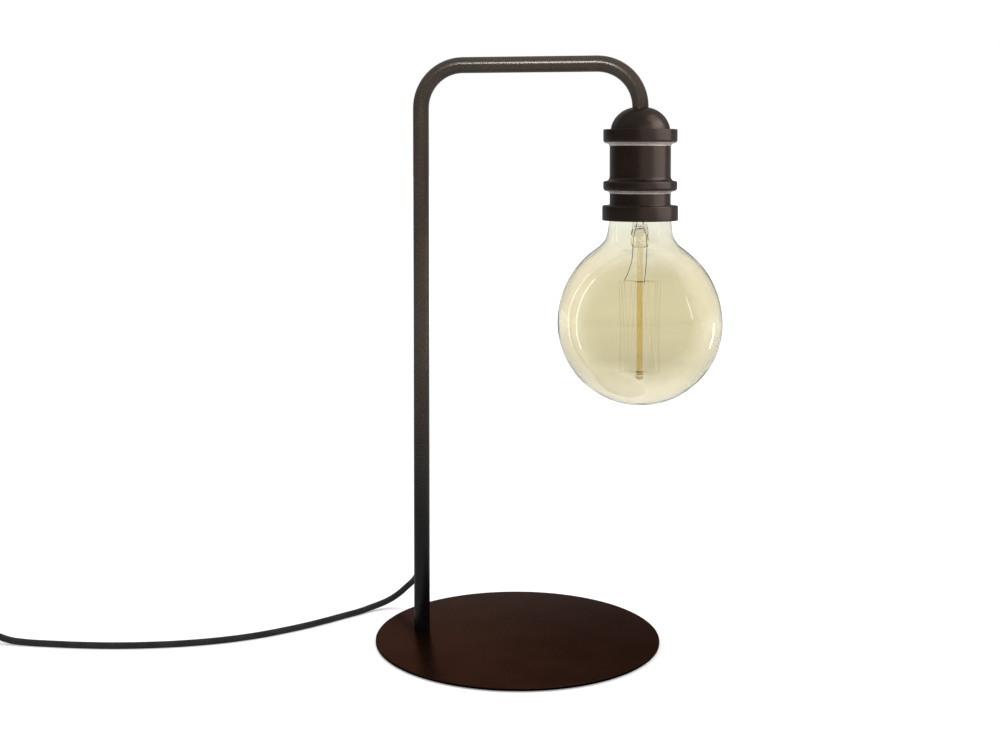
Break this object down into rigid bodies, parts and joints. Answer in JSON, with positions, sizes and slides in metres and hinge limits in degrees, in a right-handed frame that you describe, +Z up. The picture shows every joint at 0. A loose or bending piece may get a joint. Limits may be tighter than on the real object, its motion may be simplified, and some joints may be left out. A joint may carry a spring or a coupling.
{
  "type": "arc desk lamp",
  "caption": "Desk lamp: a round flat base, a bent tube arm and a stepped metal lampholder cover with a large amber globe bulb; its mains cord has an inline switch and a flat plug.",
  "frame": {"origin": "on the table, under the middle of the round base", "axes": "+Z up; +X along the arm, from the upright towards the bulb; +Y away from the side the picture was taken from"},
  "size_m": [0.7012, 0.22, 0.452],
  "materials": {
    "base_bronze": "satin paint",
    "tube_bronze": "satin paint",
    "cover_bronze": "satin paint on spun metal",
    "pad_black": "foam",
    "zinc_steel": "zinc plated",
    "bush_black": "matt",
    "core_brown": "insulated wire",
    "core_blue": "insulated wire",
    "holder_black": "moulded",
    "ceramic": "glazed",
    "brass": "plain",
    "amber_glass": "clear, amber tinted",
    "stem_glass": "clear",
    "rod_glass": "clear, amber tinted",
    "knob_glass": "clear",
    "cap_metal": "bright",
    "cap_black": "vitrified",
    "wire_steel": "drawn",
    "filament_dark": "dark",
    "cord_black": "smooth sheath",
    "tie_black": "matt",
    "fitting_black": "moulded"
  },
  "bodies": {
    "stand": {"base_plate": "base_bronze", "base_pad": "pad_black", "foot_screw": "zinc_steel", "foot_plug": "zinc_steel", "arm_tube": "tube_bronze", "cord_bush": "bush_black", "core_live": "core_brown", "core_neutral": "core_blue", "tube_tip": "zinc_steel", "star_washer": "zinc_steel", "lock_nut": "zinc_steel", "dome_cap": "cover_bronze", "collar_ring": "cover_bronze", "body_sleeve": "cover_bronze", "bead_ring": "cover_bronze", "skirt_ring": "cover_bronze", "holder_cap": "holder_black", "holder_block": "ceramic", "holder_skirt": "holder_black", "screw_shell": "brass", "centre_contact": "brass", "side_contact": "brass", "terminals": "brass", "terminal_screws": "zinc_steel", "cord_run": "cord_black", "cord_link": "cord_black", "cord_coil": "cord_black", "cord_tail": "cord_black", "cord_tie": "tie_black", "switch_base": "fitting_black", "switch_cover": "fitting_black", "switch_screws": "zinc_steel", "plug_body": "fitting_black", "plug_relief": "fitting_black", "plug_pins": "brass", "plug_sleeves": "fitting_black"},
    "bulb": {"glass_globe": "amber_glass", "screw_cap": "cap_metal", "cap_insulator": "cap_black", "cap_contact": "cap_metal", "glass_stem": "stem_glass", "glass_rod": "rod_glass", "rod_knob": "knob_glass", "lead_wires": "wire_steel", "upper_supports": "wire_steel", "lower_supports": "wire_steel", "filament": "filament_dark"},
    "rocker": {"switch_rocker": "fitting_black"}
  },
  "joints": [
    {"name": "bulb_unscrew", "type": "slide", "parent": "stand", "child": "bulb", "axis": [0, 0, -1], "range_m": [0, 0.042]},
    {"name": "switch_rock", "type": "hinge", "parent": "stand", "child": "rocker", "pos_m": [-0.436, -0.0775, 0.014], "axis": [0, -1, 0], "range_deg": [0, 12]}
  ]
}
